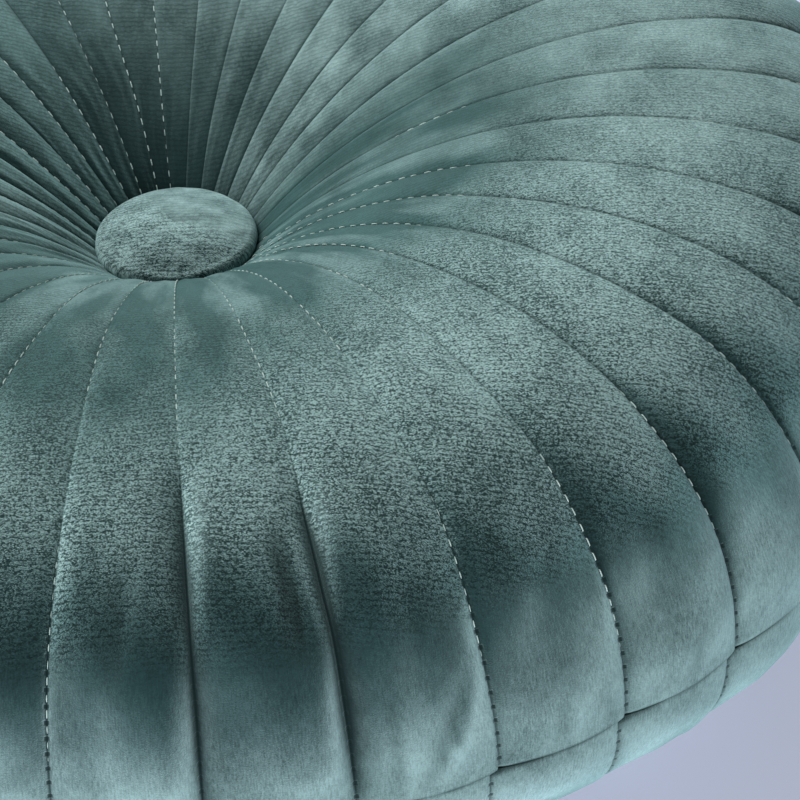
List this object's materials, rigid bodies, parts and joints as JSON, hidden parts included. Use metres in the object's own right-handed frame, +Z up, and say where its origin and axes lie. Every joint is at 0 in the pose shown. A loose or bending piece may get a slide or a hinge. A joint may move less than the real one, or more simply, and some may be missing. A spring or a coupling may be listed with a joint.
{
  "type": "floor cushion",
  "caption": "Round quilted velvet floor cushion with radial stitch lines and a covered button tufted into each face.",
  "frame": {"origin": "centre of the flat ring that rests on the floor, on the cushion's axis", "axes": "+Z up along the cushion's axis, through both buttons; +X runs along the rows of the velvet's weave"},
  "size_m": [0.4006, 0.4006, 0.1119],
  "materials": {
    "velvet": "matte",
    "thread": "satin",
    "wadding": "matte",
    "backing": "matte",
    "filling": "matte",
    "twine": "satin",
    "button_shell": "satin",
    "wire": "satin"
  },
  "bodies": {
    "root": {"top_cover": "velvet", "top_wadding": "wadding", "top_backing": "backing", "top_quilting_thread": "thread", "top_bobbin_thread": "thread", "bottom_cover": "velvet", "bottom_wadding": "wadding", "bottom_backing": "backing", "bottom_quilting_thread": "thread", "bottom_bobbin_thread": "thread", "side_seam_thread": "thread", "fibre_filling": "filling", "tufting_twine": "twine", "twine_knot": "twine"},
    "top_bight": {"top_twine_bight": "twine"},
    "top_button": {"top_button_fabric": "velvet", "top_button_cap": "button_shell", "top_button_back": "button_shell", "top_button_eye": "wire"},
    "bottom_bight": {"bottom_twine_bight": "twine"},
    "bottom_button": {"bottom_button_fabric": "velvet", "bottom_button_cap": "button_shell", "bottom_button_back": "button_shell", "bottom_button_eye": "wire"}
  },
  "joints": [
    {"name": "top_button_press", "type": "slide", "parent": "root", "child": "top_bight", "axis": [0, 0, -1], "range_m": [0, 0.008], "stiffness_N_per_m": 600, "deforming": ["top_cover", "top_wadding", "top_backing", "tufting_twine"]},
    {"name": "top_button_turn", "type": "hinge", "parent": "top_bight", "child": "top_button", "pos_m": [0, 0, 0.0696], "axis": [0, 0, 1], "range_deg": [-45, 45], "stiffness_Nm_per_rad": 0.002},
    {"name": "bottom_button_press", "type": "slide", "parent": "root", "child": "bottom_bight", "axis": [0, 0, 1], "range_m": [0, 0.008], "stiffness_N_per_m": 600, "deforming": ["bottom_cover", "bottom_wadding", "bottom_backing", "tufting_twine"]},
    {"name": "bottom_button_turn", "type": "hinge", "parent": "bottom_bight", "child": "bottom_button", "pos_m": [0, 0, 0.022], "axis": [0, 0, 1], "range_deg": [-45, 45], "stiffness_Nm_per_rad": 0.002}
  ]
}
